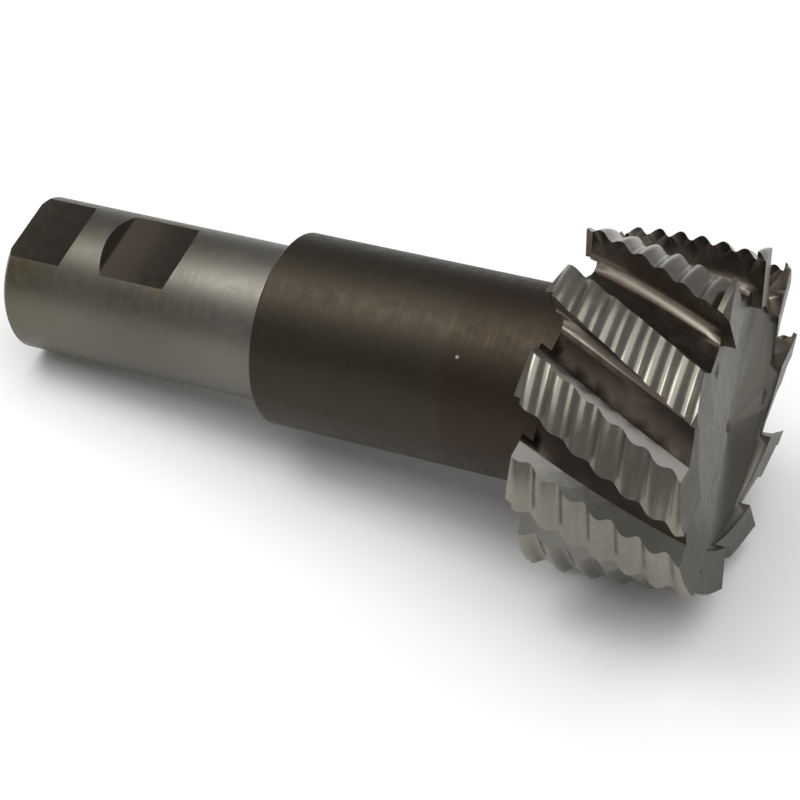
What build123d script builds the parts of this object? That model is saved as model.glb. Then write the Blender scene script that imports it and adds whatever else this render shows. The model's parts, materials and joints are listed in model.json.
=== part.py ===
# T-slot cutter, 1-1/2 inch size: a straight shank with two clamping flats, a plain neck, and a wide head
# with ten helical teeth. Each tooth carries rounded chip-breaking serrations along its land.
# Built about its own axis (+Z from the shank end to the cutting face), then laid down as it would rest.
# Millimetres. Angles in degrees, counted round the axis from the middle of the clamping flats.
from build123d import *

from math import atan2, cos, degrees, hypot, pi, radians, sin, tan
import os

INCH = 25.4

# Overall sizes
overall_length = 6.0 * INCH
shank_diameter = 1.25 * INCH
shank_length = 2.3125 * INCH
shank_chamfer = 0.9
neck_diameter = 1.53125 * INCH
neck_edge = 0.5
head_diameter = 2.65625 * INCH
head_width = 1.34375 * INCH
head_corner = 1.2

# Clamping flats on the shank: one open to the end, one closed, both with sloping end walls
flat_to_back = 1.156 * INCH
end_flat_length = 12.2
inner_flat_start = 21.9
inner_flat_length = 14.3
flat_end_slope = 55.0

# Teeth, seen along the axis: the rake face leads, the land falls away behind the cutting edge
tooth_count = 10
first_tooth_angle = 7.55
helix_angle = 30.0
rake_angle = 8.0
land_arc = 16.5
land_drop = 2.0
heel_arc = 19.5
heel_radius = 27.6
gullet_radius = 24.9
gullet_fillet = 2.6
fillet_flats = 4

# Serrations: pitch along the axis, depth, and the first crest's place in front of the head's back.
# They are rounded waves, a little sharper at the roots, drawn with short flats.
serration_pitch = 0.2 * INCH
serration_depth = 1.25
first_crest = 3.3
root_sharpness = 0.08
flats_per_wave = 10

# End faces: each end tooth slopes away behind its own edge, round a sunk middle
front_recess_radius = 23.3
front_recess_depth = 3.0
front_relief_angle = 10.0
back_recess_radius = 27.0
back_recess_depth = 3.0
back_relief_angle = 5.0
web_corner = 1.0

# Centre holes, from grinding between centres
front_hole_diameter = 1.4
front_hole_mouth = 2.6
shank_hole_diameter = 4.0
shank_hole_mouth = 8.4
centre_hole_depth = 6.0
centre_cone_angle = 60.0
drill_point_angle = 118.0

# The side that the cutter lies on, round from the flats; the exact notch between two teeth is found later
resting_side = 169.5
facet_size = 0.05

# Derived
shank_r = shank_diameter / 2
neck_r = neck_diameter / 2
head_r = head_diameter / 2
head_front = overall_length
head_back = overall_length - head_width
tooth_step = 360.0 / tooth_count
twist_rate = degrees(tan(radians(helix_angle)) / head_r)
crest_shift = -serration_pitch / tooth_count
blank_margin = 0.2
blank_r = head_r + blank_margin
corner_cut = head_corner + blank_margin
over = 2.0


def polar(radius, angle):
    return (radius * cos(radians(angle)), radius * sin(radians(angle)))


def tooth_angle(height):
    # where the first tooth's cutting edge is, round the axis, at a height along it
    return first_tooth_angle + twist_rate * (height - head_back)


def rake_line(inner_radius):
    # the rake face seen along the axis, from outside the head in to a radius
    inward = Vector(-cos(radians(rake_angle)), -sin(radians(rake_angle)))
    tip = Vector(head_r, 0)
    depth = (head_r - inner_radius) / cos(radians(rake_angle))
    return tip - inward * (2 * over), tip + inward * depth


def turned_body():
    web_back = head_back + back_recess_depth
    web_front = head_front - front_recess_depth
    outline = [
        (0, 0),
        (shank_r - shank_chamfer, 0),
        (shank_r, shank_chamfer),
        (shank_r, shank_length),
        (neck_r - neck_edge, shank_length),
        (neck_r, shank_length + neck_edge),
        (neck_r, web_back - web_corner),
        (neck_r + web_corner, web_back),
        (back_recess_radius, web_back),
        (back_recess_radius, head_back),
        (blank_r - corner_cut, head_back),
        (blank_r, head_back + corner_cut),
        (blank_r, head_front - corner_cut),
        (blank_r - corner_cut, head_front),
        (front_recess_radius, head_front),
        (front_recess_radius, web_front),
        (0, web_front),
    ]
    return revolve(make_face(Plane.XZ * Polyline(*outline, close=True)), Axis.Z)


def centre_hole(mouth, bore):
    # a countersunk drilled hole going down from z = 0
    cone = (mouth - bore) / 2 / tan(radians(centre_cone_angle / 2))
    point = bore / 2 / tan(radians(drill_point_angle / 2))
    outline = [
        (0, 1),
        (mouth / 2, 1),
        (mouth / 2, 0),
        (bore / 2, -cone),
        (bore / 2, point - centre_hole_depth),
        (0, -centre_hole_depth),
    ]
    return revolve(make_face(Plane.XZ * Polyline(*outline, close=True)), Axis.Z)


def clamping_flat(start, end):
    # what is milled away: a floor facing +X from start to end, and the slopes at its ends
    floor_x = flat_to_back - shank_r
    rise = shank_r - floor_x + 1.0
    run = rise / tan(radians(flat_end_slope))
    begin = start if start > 0 else start - 1.0
    low = start - run if start > 0 else begin
    outline = [(floor_x, begin), (floor_x, end), (floor_x + rise, end + run), (floor_x + rise, low)]
    return extrude(make_face(Plane.XZ * Polyline(*outline, close=True)), shank_r, both=True)


def rounded(before, corner, after):
    # points along the root fillet between two straight sides, which it meets without a step
    to_before = (before - corner).normalized()
    to_after = (after - corner).normalized()
    half = radians(to_before.get_angle(to_after)) / 2
    centre = corner + (to_before + to_after).normalized() * (gullet_fillet / sin(half))
    first = corner + to_before * (gullet_fillet / tan(half)) - centre
    last = corner + to_after * (gullet_fillet / tan(half)) - centre
    turn = first.get_signed_angle(last, Vector(0, 0, 1)) / fillet_flats
    return [centre + first.rotate(Axis.Z, turn * i) for i in range(fillet_flats + 1)]


def along_helix(face):
    # a section of the head, drawn with the first tooth's edge on +X, as a bar twisted along the helix
    low = head_back - over
    height = head_width + 2 * over
    turn = twist_rate * height
    section = (Pos(0, 0, low) * Rot(0, 0, tooth_angle(low)) * face).faces()[0]
    return Solid.extrude_linear_with_rotation(section, (0, 0, low), (0, 0, height), turn)


def gullet():
    # the space between one tooth's rake face and the next tooth's heel
    top, deep = rake_line(gullet_radius)
    heel = Vector(*polar(heel_radius, tooth_step - heel_arc))
    heel_land = Vector(*polar(head_r - land_drop, tooth_step - land_arc))
    heel_top = heel_land + (heel_land - heel).normalized() * (2 * over)
    outside = Vector(*polar(head_r + 3 * over, tooth_step / 3))
    root = rounded(top, deep, heel)
    return along_helix(make_face(Polyline(top, *root, heel, heel_top, outside, close=True)))


def land_axis():
    # a land is turned about an axis of its own, set off from the cutter's axis so that the land falls away
    # behind its edge, and leaning so that it keeps to the edge all along the helix
    land_end = head_r - land_drop
    offset = (head_r**2 - land_end**2) / (2 * land_end * sin(radians(land_arc)))
    low = Vector(*polar(offset, tooth_angle(head_back) + 90), head_back)
    high = Vector(*polar(offset, tooth_angle(head_front) + 90), head_front)
    return Plane(origin=(low + high) / 2, z_dir=high - low)


def wave(turns):
    # depth of a serration below its crest
    turn = 2 * pi * turns
    return serration_depth * ((1 - cos(turn)) / 2 - root_sharpness * (1 - cos(2 * turn)) / 2)


def land_blank():
    # the round, serrated body that one tooth's land is part of
    frame = land_axis()
    middle = (head_back + head_front) / 2
    edge = frame.to_local_coords(Vector(*polar(head_r, tooth_angle(middle)), middle))
    crest_line = hypot(edge.X, edge.Y)
    pitch = serration_pitch * frame.z_dir.Z
    start = edge.Z + (head_back + first_crest - middle) * frame.z_dir.Z
    waves = round(head_width / serration_pitch) + 2
    profile = [
        (crest_line - wave(i / flats_per_wave), start + pitch * i / flats_per_wave)
        for i in range(-2 * flats_per_wave, waves * flats_per_wave + 1)
    ]
    profile = [(0, profile[0][1]), *profile, (0, profile[-1][1])]
    return frame * revolve(make_face(Plane.XZ * Polyline(*profile, close=True)), Axis.Z)


def above_land():
    # what is ground off above the first tooth's land, as far as the gaps on both sides of it
    corners = [
        polar(heel_radius + over, -heel_arc),
        polar(head_r + 2 * over, -heel_arc),
        polar(head_r + 2 * over, land_arc / 2),
        polar(heel_radius + over, land_arc / 2),
    ]
    return along_helix(make_face(Polyline(*corners, close=True))) - land_blank()


def end_gash(height, inner_radius, relief_angle, side):
    # what is ground off one end face behind the first tooth's edge; side is +1 in front, -1 at the back
    far, near = rake_line(inner_radius)
    outside = Vector(*polar(head_r + 4 * over, -tooth_step / 2))
    next_near = near.rotate(Axis.Z, -tooth_step)
    next_far = far.rotate(Axis.Z, -tooth_step)
    sector = make_face(Polyline(far, near, next_near, next_far, outside, close=True))
    block = extrude(sector, 4 * over, both=True)
    along = (far - near).normalized()
    behind = along.cross(Vector(0, 0, 1))
    face_out = behind * sin(radians(relief_angle)) + Vector(0, 0, side) * cos(radians(relief_angle))
    ramp = Plane(origin=Vector(head_r, 0), x_dir=along, z_dir=face_out)
    above = Box(8 * head_r, 8 * head_r, 8 * over, align=(Align.CENTER, Align.CENTER, Align.MIN))
    waste = block & (ramp * above)
    return Pos(0, 0, height) * Rot(0, 0, tooth_angle(height)) * waste


def round_the_head(piece):
    return [Rot(0, 0, tooth_step * i) * piece for i in range(tooth_count)]


def cutter():
    body = turned_body()
    body -= clamping_flat(0, end_flat_length)
    body -= clamping_flat(inner_flat_start, inner_flat_start + inner_flat_length)
    body -= Rot(180, 0, 0) * centre_hole(shank_hole_mouth, shank_hole_diameter)
    body -= Pos(0, 0, head_front - front_recess_depth) * centre_hole(front_hole_mouth, front_hole_diameter)
    body -= round_the_head(gullet())
    # from tooth to tooth the serrations shift, so that each tooth's crests cut what the last one left
    land = above_land()
    lands = []
    for i in range(tooth_count):
        climb = crest_shift * i
        lands.append(Pos(0, 0, climb) * Rot(0, 0, tooth_step * i + twist_rate * climb) * land)
    body -= lands
    body -= round_the_head(end_gash(head_front, front_recess_radius - 1.0, front_relief_angle, 1))
    body -= round_the_head(end_gash(head_back, back_recess_radius - 1.0, back_relief_angle, -1))
    return body


def resting_tilt(points, down):
    # tilt of the axis, head end up, at which the shank's end edge and the head both touch the ground
    dx, dy = polar(1, down)
    return max(degrees(atan2(x * dx + y * dy - shank_r, z - shank_chamfer)) for x, y, z in points)


def resting_place(body):
    # of all the ways round near the resting side, the one that lets the head lie lowest
    vertices, triangles = body.tessellate(facet_size)
    points = [tuple(v) for v in vertices if hypot(v.X, v.Y) > head_r - land_drop]
    down = resting_side
    for step in (0.5, 0.05):
        tries = [down + step * i for i in range(-14, 15)]
        tilt, down = min((resting_tilt(points, angle), angle) for angle in tries)
    return tilt, down


def main():
    body = cutter()
    tilt, down = resting_place(body)
    body = Rot(0, 90 - tilt, 0) * Rot(0, 0, -down) * body
    box = body.bounding_box()
    body = Pos(-box.center().X, -box.center().Y, -box.min.Z) * body
    part = body.solids()[0]
    part.label = "t_slot_cutter"
    os.makedirs("parts", exist_ok=True)
    export_step(part, "parts/t_slot_cutter.step")
    print("solids", len(body.solids()), "valid", part.is_valid, "volume mm3", round(part.volume))
    print("tilt", round(tilt, 3), "side down", round(down, 2))


if __name__ == "__main__":
    main()
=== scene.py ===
# %% [markdown]
# A T-slot cutter is one bar of high-speed steel: a ground shank with two clamping flats, a dark
# oxide neck, and a wide head with ten serrated helical teeth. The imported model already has
# the true shape, so this lesson dresses it: it finds each zone of the bar (shank, flats, neck,
# lands, gullets, end faces) by place and direction, and gives every zone its own finish.

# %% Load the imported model
import json
from math import atan2, degrees, radians

import bpy
from mathutils import Matrix, Vector

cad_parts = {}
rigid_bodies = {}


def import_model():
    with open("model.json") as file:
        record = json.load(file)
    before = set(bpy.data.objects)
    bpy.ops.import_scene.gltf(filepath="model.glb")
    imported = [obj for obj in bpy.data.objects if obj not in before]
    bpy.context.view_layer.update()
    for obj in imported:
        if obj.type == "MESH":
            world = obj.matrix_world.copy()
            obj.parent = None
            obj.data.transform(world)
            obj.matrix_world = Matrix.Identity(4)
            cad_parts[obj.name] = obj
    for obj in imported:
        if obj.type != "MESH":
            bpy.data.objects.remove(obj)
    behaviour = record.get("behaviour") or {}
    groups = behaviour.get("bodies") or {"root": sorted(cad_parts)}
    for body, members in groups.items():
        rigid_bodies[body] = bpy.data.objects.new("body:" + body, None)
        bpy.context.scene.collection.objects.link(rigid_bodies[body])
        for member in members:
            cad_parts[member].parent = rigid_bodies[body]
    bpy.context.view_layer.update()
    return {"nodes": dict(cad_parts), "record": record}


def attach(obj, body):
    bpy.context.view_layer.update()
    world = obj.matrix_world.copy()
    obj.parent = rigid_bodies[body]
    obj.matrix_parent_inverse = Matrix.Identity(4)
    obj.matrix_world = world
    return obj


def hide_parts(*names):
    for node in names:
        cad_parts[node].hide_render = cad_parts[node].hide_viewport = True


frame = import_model()
record = frame["record"]

# %% [markdown]
# The photograph looks down at the head's side of the cutter through a long lens. A camera is
# easiest to check when it is written as a place, a point it looks at and a roll, so those are
# the values here. The lens is in millimetres on a 36 mm wide sensor.

# %% Camera
camera_place = Vector((0.138586, -0.321620, 0.338303))
camera_aim = Vector((-0.000563, 0.014171, 0.0))
camera_roll = radians(3.44)
camera_lens = 107.32

camera_data = bpy.data.cameras.new("camera")
camera_data.lens = camera_lens
camera_data.sensor_width = 36.0
camera = bpy.data.objects.new("camera", camera_data)
bpy.context.scene.collection.objects.link(camera)
look = (camera_aim - camera_place).normalized()
level = look.to_track_quat("-Z", "Y").to_matrix().to_4x4()
camera.matrix_world = Matrix.Translation(camera_place) @ level @ Matrix.Rotation(camera_roll, 4, "Z")
bpy.context.scene.camera = camera
print("camera at", tuple(round(v, 4) for v in camera_place), "lens", camera_lens)

# %% [markdown]
# Steel shows what stands around it, so the light is part of the finish. Small lamps would draw a
# hard line along each cylinder, so one broad lamp hangs above, and the lands that face up mirror
# it. A weak second lamp comes from the shank's side, and a dim even world fills the rest.

# %% World and lamps
scene = bpy.context.scene
scene.view_settings.view_transform = "Standard"

world = bpy.data.worlds.new("studio")
scene.world = world
world.use_nodes = True
world_level = 0.38
world.node_tree.nodes["Background"].inputs["Color"].default_value = (1.0, 0.99, 0.97, 1.0)
world.node_tree.nodes["Background"].inputs["Strength"].default_value = world_level


def add_lamp(name, place, aim, size, power):
    # a square lamp turned towards a point, its side in metres and its power in watts
    lamp_data = bpy.data.lights.new(name, "AREA")
    lamp_data.shape = "SQUARE"
    lamp_data.size = size
    lamp_data.energy = power
    lamp = bpy.data.objects.new(name, lamp_data)
    scene.collection.objects.link(lamp)
    lamp.location = place
    lamp.rotation_euler = (Vector(aim) - Vector(place)).to_track_quat("-Z", "Y").to_euler()


middle = (0.0, 0.0, 0.03)
add_lamp("overhead", (0.0, -0.05, 1.10), middle, 1.5, 10.5)
add_lamp("key", (-0.46, -0.10, 0.84), middle, 0.40, 2.2)

# %% [markdown]
# The cutter lies on a white ground. A backdrop could curve up behind it, but the camera looks
# down, so a flat floor fills the picture and keeps the cutter's own soft shadow.

# %% Floor
floor_reach = 3.0
bpy.ops.object.select_all(action="DESELECT")
bpy.ops.mesh.primitive_plane_add(size=2 * floor_reach, location=(0, 0, 0))
floor = bpy.context.object
floor.name = "floor"
print("floor:", tuple(round(side_length, 2) for side_length in floor.dimensions))

# %% [markdown]
# Every zone of the cutter is easiest to describe along and around its own axis, and the cutter
# lies at a slant. The record's mounts give that axis: the shank's pin points out past the
# shank's end, and the flats' normal shows how the cutter is turned.

# %% The cutter's own axis
INCH = 0.0254
MM = 0.001
# the same driving sizes as in the part's source
shank_radius = 0.625 * INCH
shank_length = 2.3125 * INCH
shank_chamfer = 0.9 * MM
neck_radius = 0.765625 * INCH
head_front = 6.0 * INCH
head_width = 1.34375 * INCH
head_back = head_front - head_width

mounts = {m["name"]: m for m in record["mounts"]}
along = -Vector(mounts["shank"]["axis"]).normalized()
flat_up = Vector(mounts["end_flat"]["axis"]).normalized()
side = along.cross(flat_up)
shank_end = Vector(mounts["shank"]["pos_m"]) - along * (shank_chamfer + shank_length) / 2
print("axis", tuple(round(v, 4) for v in along), "from", tuple(round(v, 4) for v in shank_end))


def own_place(point):
    # height along the axis, distance from it, and the directions outward and on round it
    offset = point - shank_end
    height = offset.dot(along)
    outward = offset - along * height
    return height, outward.length, outward.normalized(), along.cross(outward).normalized()


# %% [markdown]
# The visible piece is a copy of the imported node. The teeth could be modelled again here, but the
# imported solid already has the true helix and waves, so every corner stays where it is. Its
# triangles come loose, each with corners of its own, so the copy is merged first: only then can
# a crisp edge be told from a smooth one.

# %% The body, merged
merge_distance = 0.5e-6
smooth_angle = radians(36)

node = frame["nodes"]["t_slot_cutter"]
bpy.ops.object.select_all(action="DESELECT")
node.select_set(True)
bpy.context.view_layer.objects.active = node
bpy.ops.object.duplicate()
body = bpy.context.object
body.name = "cutter_body"
# the copy is a new piece, so it keeps none of the node's own notes
for key in list(body.keys()):
    del body[key]
body.parent = None
bpy.ops.object.mode_set(mode="EDIT")
bpy.ops.mesh.select_all(action="SELECT")
bpy.ops.mesh.remove_doubles(threshold=merge_distance)
bpy.ops.object.mode_set(mode="OBJECT")
bpy.ops.object.shade_smooth_by_angle(angle=smooth_angle)
print("body:", len(body.data.vertices), "corners,", len(body.data.polygons), "faces")

# %% [markdown]
# On the real cutter each surface was left by another tool, so each has a finish of its own.
# Faces could be picked by hand, but there are thousands, so a rule finds their zone. On the head
# it goes by how a face stands: a rake face looks on along the turn, a heel looks back against
# it, and a land looks straight out.

# %% Zones of the head
# along the cutter: how deep the slopes behind the end edges go
end_slope_depth = 2.6 * MM
# out from the axis: the recesses' floors and walls, and the lowest place on a land
recess_reach = 22 * MM
recess_wall_reach = 23.6 * MM
land_reach = 29.5 * MM
# facing: 0 on a cylinder, about 0.7 on a turned bevel, 1 on a face square to the axis
end_facing = 0.8
# lean in degrees: 0 looks straight out, 90 looks on along the turn, 180 looks inward
land_lean = 40
heel_lean = -50
rake_lean = 70
root_lean = 12
inward_lean = 120


def head_zone(height, radius, facing, out, turn):
    if abs(facing) > end_facing:
        depth = head_front - height if facing > 0 else height - head_back
        return "end_face" if depth < end_slope_depth and radius > recess_reach else "sunk_face"
    lean = degrees(atan2(turn, out))
    if radius < recess_wall_reach or abs(lean) > inward_lean:
        return "sunk_face"
    if radius > land_reach and abs(lean) < land_lean:
        return "land"
    if lean < heel_lean:
        return "heel"
    if lean > rake_lean:
        return "rake"
    return "root_fillet" if lean > root_lean else "gullet_floor"


print("a face at the top of a tooth:", head_zone(head_back + head_width / 2, 33 * MM, 0, 1, 0))

# %% [markdown]
# The shank and the neck are turned, so distance from the axis and height along it are enough.
# What lies inside the shank's round surface and isn't its end must be a milled flat.

# %% Zones of the shank and the neck
# flat facets lie a little inside the true circle, so each limit has some slack
cylinder_slack = 0.15 * MM
neck_slack = 0.1 * MM
end_slack = 0.02 * MM
step_slack = 0.05 * MM
centre_hole_reach = 5 * MM
back_recess_depth = 6 * MM
neck_root_height = 1 * MM
straight_out = 0.985
bevel_facing = 0.5
web_facing = 0.9


def shank_zone(height, radius, facing, out):
    if height < end_slack or radius < centre_hole_reach:
        return "shank_end"
    on_cylinder = radius > shank_radius - cylinder_slack and out > straight_out
    on_bevel = abs(facing) > bevel_facing and height < 2 * shank_chamfer
    return "ground_shank" if on_cylinder or on_bevel else "milled_flat"


def zone_of(center, normal):
    height, radius, outward, onward = own_place(center)
    facing, out, turn = normal.dot(along), normal.dot(outward), normal.dot(onward)
    if height < shank_length - step_slack:
        return shank_zone(height, radius, facing, out)
    if radius < neck_radius + neck_slack and height < head_back - neck_root_height:
        return "oxide_neck" if abs(facing) < bevel_facing else "neck_step"
    # the bevel at the neck's root belongs to the neck, and the flat web round it to the head
    near_neck = radius < recess_reach and height < head_back + back_recess_depth
    if near_neck and abs(facing) < web_facing:
        return "oxide_neck"
    return head_zone(height, radius, facing, out, turn)


polygons = body.data.polygons
zones = [zone_of(polygon.center, polygon.normal) for polygon in polygons]
zone_names = [
    "ground_shank", "shank_end", "milled_flat", "oxide_neck", "neck_step", "land", "heel",
    "rake", "root_fillet", "gullet_floor", "end_face", "sunk_face",
]
for name in zone_names:
    print(name, zones.count(name))

# %% [markdown]
# Two zones meet where one tool's cut ran into another's, so their edge is crisp. A bevel there
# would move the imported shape, so the edges are only marked sharp. The root fillet is the one
# that runs smoothly into the faces beside it.

# %% Crisp edges between zones
soft_pairs = {("rake", "root_fillet"), ("gullet_floor", "root_fillet")}
edge_zones = {}
for polygon, zone in zip(polygons, zones):
    for key in polygon.edge_keys:
        edge_zones.setdefault(key, set()).add(zone)
for edge in body.data.edges:
    pair = tuple(sorted(edge_zones[edge.key]))
    if len(pair) == 2:
        edge.use_edge_sharp = pair not in soft_pairs
print("crisp edges:", sum(edge.use_edge_sharp for edge in body.data.edges))

# %% [markdown]
# Blender guesses how a corner is shaded from the triangles round it, and long thin triangles
# pull that guess askew. A finer mesh would hide it, but the true directions are known: a
# cylinder faces straight out, and a turned bevel leans halfway to the axis. On the wavy lands
# each flat of a wave counts once, however many triangles it has.

# %% True directions on turned faces and lands
same_flat = radians(5)


def turned_normal(polygon, point):
    outward = own_place(point)[2]
    facing = polygon.normal.dot(along)
    if abs(facing) < bevel_facing:
        return outward
    return (outward + along * (1 if facing > 0 else -1)).normalized()


land_normals = {}
for polygon, zone in zip(polygons, zones):
    if zone == "land":
        for vertex in polygon.vertices:
            land_normals.setdefault(vertex, []).append(polygon.normal.copy())


def even_normal(polygon, vertex):
    flats = []
    for normal in land_normals[vertex]:
        on_this_side = normal.angle(polygon.normal, 0) < smooth_angle
        if on_this_side and all(normal.angle(flat, 0) > same_flat for flat in flats):
            flats.append(normal)
    return sum(flats, Vector((0, 0, 0))).normalized()


print("corners on the lands:", len(land_normals))

# %% [markdown]
# The heel behind each land is ground by hand or by a wheel that wears, so it isn't quite flat.
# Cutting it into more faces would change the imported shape, so its corners are only shaded as if
# they leaned outward a little, and they catch the light in the same way.

# %% Shade the corners
heel_round = 0.75
normals = [n.vector.copy() for n in body.data.corner_normals]
for polygon, zone in zip(polygons, zones):
    for corner in polygon.loop_indices:
        vertex = body.data.loops[corner].vertex_index
        if zone in ("ground_shank", "oxide_neck"):
            normals[corner] = turned_normal(polygon, body.data.vertices[vertex].co)
        elif zone == "land":
            normals[corner] = even_normal(polygon, vertex)
        elif zone == "heel":
            outward = own_place(polygon.center)[2]
            normals[corner] = (polygon.normal + outward * heel_round).normalized()
body.data.normals_split_custom_set(normals)
print("corners shaded:", len(normals))

# %% [markdown]
# Nodes could be placed and wired one by one, but shader maths reads best as plain expressions.
# A small class wraps a socket and turns + and * into Math nodes, and every other node comes
# from one method that takes its type, its settings and its inputs.

# %% A small language for shaders


class Value:
    # a number that changes over the surface
    def __init__(self, paint, socket):
        self.paint = paint
        self.socket = socket

    def _join(self, operation, first, second):
        return self.paint.node("ShaderNodeMath", {"operation": operation}, {0: first, 1: second})

    def __add__(self, other):
        return self._join("ADD", self, other)

    def __mul__(self, other):
        return self._join("MULTIPLY", self, other)

    # a sum or a product is the same either way round
    __radd__ = __add__
    __rmul__ = __mul__


class Paint:
    # one material, and the nodes that make it
    def __init__(self, name):
        self.material = bpy.data.materials.new(name)
        self.material.use_nodes = True
        self.tree = self.material.node_tree
        self.shader = self.tree.nodes["Principled BSDF"]

    def node(self, kind, settings=None, inputs=None, output=0):
        node = self.tree.nodes.new(kind)
        for key, setting in (settings or {}).items():
            setattr(node, key, setting)
        for key, given in (inputs or {}).items():
            self.feed(node.inputs[key], given)
        return Value(self, node.outputs[output])

    def feed(self, socket, given):
        if isinstance(given, Value):
            self.tree.links.new(given.socket, socket)
        elif isinstance(given, tuple) and len(given) == 3 and socket.type == "RGBA":
            socket.default_value = (*given, 1.0)
        else:
            socket.default_value = given

    def set(self, **inputs):
        for name, given in inputs.items():
            self.feed(self.shader.inputs[name.replace("_", " ")], given)

    def vector(self, operation, first, second, output=0):
        return self.node("ShaderNodeVectorMath", {"operation": operation}, {0: first, 1: second}, output)

    def place(self):
        # the point of the surface in the cutter's own frame: X out through the flats, Z along the axis
        point = self.node("ShaderNodeTexCoord", output="Object")
        moved = self.vector("SUBTRACT", point, tuple(shank_end))
        parts = [self.vector("DOT_PRODUCT", moved, tuple(d), "Value") for d in (flat_up, side, along)]
        return self.node("ShaderNodeCombineXYZ", inputs=dict(enumerate(parts)))

    def scaled(self, point, scale):
        return self.vector("MULTIPLY", point, scale)

    def near(self, point, place, reach):
        # 1 at a place given in millimetres, falling to 0 at a distance from it
        away = self.vector("DISTANCE", point, tuple(c * MM for c in place), "Value")
        return self.level(away, reach * MM, 0.0)

    def part(self, point, axis):
        return self.node("ShaderNodeSeparateXYZ", inputs={"Vector": point}, output=axis)

    def noise(self, point, scale, detail=3.0):
        inputs = {"Vector": point, "Scale": scale, "Detail": detail}
        return self.node("ShaderNodeTexNoise", inputs=inputs)

    def level(self, value, low, high, to_low=0.0, to_high=1.0):
        # a value's range moved onto another, and clamped there
        inputs = {0: value, 1: low, 2: high, 3: to_low, 4: to_high}
        return self.node("ShaderNodeMapRange", inputs=inputs)

    def mix(self, mask, first, second):
        inputs = {"Factor": mask, 6: first, 7: second}
        return self.node("ShaderNodeMix", {"data_type": "RGBA"}, inputs, output=2)

    def bump(self, height, strength, distance):
        inputs = {"Height": height, "Strength": strength, "Distance": distance}
        return self.node("ShaderNodeBump", inputs=inputs)


print("shader language:", Value.__name__, "and", Paint.__name__)

# %% [markdown]
# The white of the floor could come from stronger lamps, but they would wash out the steel. It
# comes from the floor's own colour, and the floor is rough, so it mirrors nothing.

# %% Floor finish
paint = Paint("floor_white")
paint.set(Base_Color=(0.97, 0.97, 0.97), Roughness=0.9)
floor.data.materials.append(paint.material)
print("floor finish:", floor.data.materials[0].name)

# %% [markdown]
# The bar is one steel with several histories. Ground surfaces keep fine rings that run round
# the axis; the neck and gullets keep their brown heat-treatment oxide; the lands and heels are
# ground last and are the brightest. A picture of steel would repeat and blur, so each finish is
# made of noise: two tones by a broad cloud, a finer mottle, and grinding lines that drive both
# the roughness and a faint bump.

# %% One recipe for every steel
materials = {}
# how closely the marks of a finish lie, per metre across, across and along the axis
rings = (60.0, 60.0, 3600.0)
grain = (700.0, 700.0, 700.0)
cloud_scale = 45.0
mottle_scale = 420.0
bump_strength = 0.5


def steel(name, base, roughness, marks=rings, spread=0.18, line_depth=6e-6, extra=None):
    # noise stays near its middle, so a narrow band of it is stretched over 0 to 1
    paint = Paint(name)
    point = paint.place()
    cloud = paint.level(paint.noise(point, cloud_scale, 2.0), 0.35, 0.65)
    mottle = paint.level(paint.noise(point, mottle_scale, 4.0), 0.3, 0.7)
    lines = paint.noise(paint.scaled(point, marks), 1.0)
    dark = tuple(c * (1 - spread) for c in base)
    light = tuple(c * (1 + spread) for c in base)
    tone = cloud * 0.5 + mottle * 0.25 + paint.level(lines, 0.3, 0.7) * 0.25
    color = paint.mix(tone, dark, light)
    if extra:
        color = extra(paint, point, color)
    paint.set(
        Base_Color=color,
        Metallic=1.0,
        Roughness=paint.level(lines + mottle * 0.4, 0.4, 1.1, roughness * 0.85, roughness * 1.2),
        Normal=paint.bump(lines, bump_strength, line_depth),
    )
    materials[name] = paint.material


print("marks:", rings, "round the axis,", grain, "all over")

# %% [markdown]
# The photograph shows a little use. Oil has stained the lower edge of the end flat, and there is a
# small rust spot. The oxide turns redder near the head, and one pale fleck of dust sticks to it.
# The shank also has a painted highlight: it is lighter between the flats and towards the neck.
# Each mark is a place in the cutter's own frame with a soft edge, so it stays put from every side.

# %% Marks on the shank and the neck
# places and reaches in millimetres
stain_place, stain_reach = (12.64, 9.6, 4.57), 6.0
rust_place, rust_reach = (13.49, 8.38, 34.68), 2.2
fleck_place, fleck_reach = (16.23, 10.72, 101.3), 0.45
# heights along the axis over which a change of tone comes in
past_end_flat = (10 * MM, 15 * MM)
neck_side = (36 * MM, 50 * MM)
redder_part = (99 * MM, 101 * MM)
redder_edge_wander = 2 * MM
redder_edge_scale = 120.0
blotch_scale = 500.0
oil_brown = (0.10, 0.075, 0.025)
rust_brown = (0.20, 0.10, 0.05)
# the lighter steel of a painted highlight on the shank
painted_highlight_steel = (0.190, 0.183, 0.165)
red_oxide = (0.042, 0.032, 0.023)
dust = (0.5, 0.48, 0.44)


def shank_patches(paint, point, color):
    height = paint.part(point, "Z")
    # painted highlight: the shank is made lighter between the flats and towards the neck
    painted_highlight = paint.level(height, *neck_side) * 0.3 + paint.level(height, *past_end_flat) * 0.15
    color = paint.mix(painted_highlight, color, painted_highlight_steel)
    cloud = paint.noise(point, blotch_scale)
    stain = paint.near(point, stain_place, stain_reach) * paint.level(cloud, 0.35, 0.6) * 0.7
    rust = paint.near(point, rust_place, rust_reach) * paint.level(cloud, 0.4, 0.6) * 0.6
    return paint.mix(rust, paint.mix(stain, color, oil_brown), rust_brown)


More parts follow.
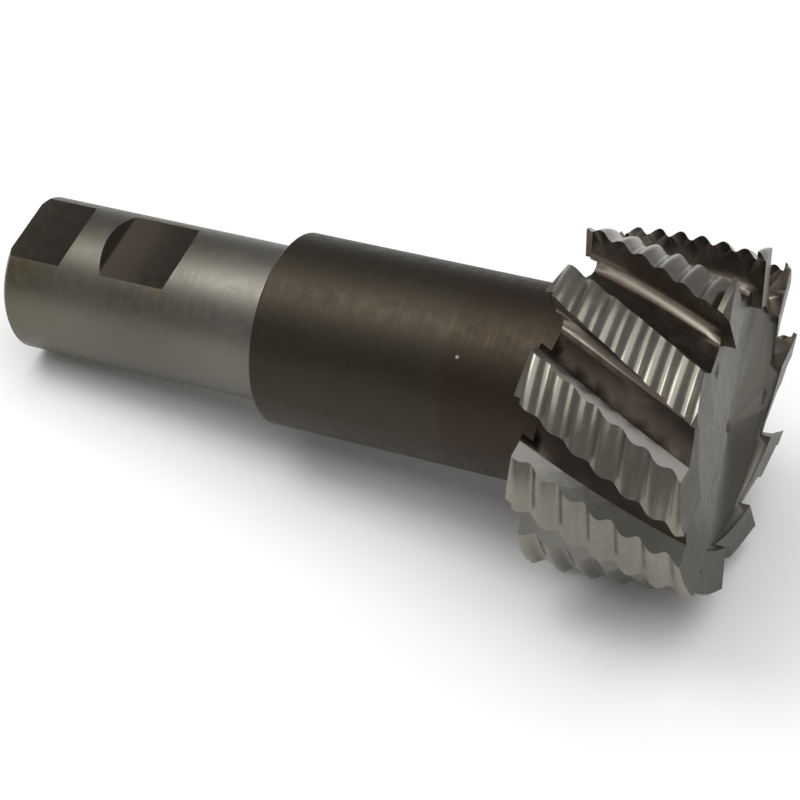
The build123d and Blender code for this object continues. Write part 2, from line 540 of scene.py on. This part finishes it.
def neck_patches(paint, point, color):
    # the redder part has an uneven edge
    height = paint.part(point, "Z")
    edge = height + paint.noise(point, redder_edge_scale) * redder_edge_wander
    color = paint.mix(paint.level(edge, *redder_part) * 0.8, color, red_oxide)
    return paint.mix(paint.near(point, fleck_place, fleck_reach), color, dust)


print("marks at heights:", stain_place[2], rust_place[2], fleck_place[2], "mm")

# %% [markdown]
# Each zone has its base colour and roughness. They were set by measuring the same spots in the
# photograph and in the render, under the lamps above. Milled faces have an even grain in place of
# rings, because a milling tool leaves no lines round the axis.

# %% The twelve finishes
land_rings = (110.0, 110.0, 3000.0)
steel("ground_shank", (0.125, 0.116, 0.092), 0.42, extra=shank_patches)
steel("shank_end", (0.12, 0.11, 0.09), 0.45, grain)
# the flats' darker base is painted shade: it stands in for the dark surroundings that the flats mirror
steel("milled_flat", (0.046, 0.039, 0.030), 0.46, grain, 0.10)
steel("oxide_neck", (0.047, 0.040, 0.029), 0.47, spread=0.10, line_depth=3e-6, extra=neck_patches)
steel("neck_step", (0.045, 0.039, 0.030), 0.50)
steel("land", (0.215, 0.203, 0.172), 0.27, land_rings, 0.22)
steel("heel", (0.17, 0.164, 0.150), 0.30, grain, 0.10)
steel("rake", (0.135, 0.115, 0.088), 0.45, grain)
# the fillet's bright base is a painted highlight: it stands in for the bright line that the fillet
# mirrors
steel("root_fillet", (0.24, 0.21, 0.17), 0.42, grain)
steel("gullet_floor", (0.056, 0.046, 0.036), 0.46, grain)
steel("end_face", (0.088, 0.082, 0.072), 0.40, grain, 0.08)
steel("sunk_face", (0.135, 0.127, 0.110), 0.42, grain, 0.08)

print("finishes:", list(materials))

# %% [markdown]
# A piece can carry many materials, one for each group of faces. Twelve separate pieces would do
# too, but the cutter is one bar, so it stays one piece and each face points at its finish.

# %% Put the finishes on
body.data.materials.clear()
for name in zone_names:
    body.data.materials.append(materials[name])
for polygon, zone in zip(polygons, zones):
    polygon.material_index = zone_names.index(zone)
print("materials on the body:", len(body.data.materials))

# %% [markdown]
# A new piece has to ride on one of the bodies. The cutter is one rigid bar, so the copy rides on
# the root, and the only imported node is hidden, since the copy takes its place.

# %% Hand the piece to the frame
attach(body, "root")
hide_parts("t_slot_cutter")
print("handed in:", body.name)
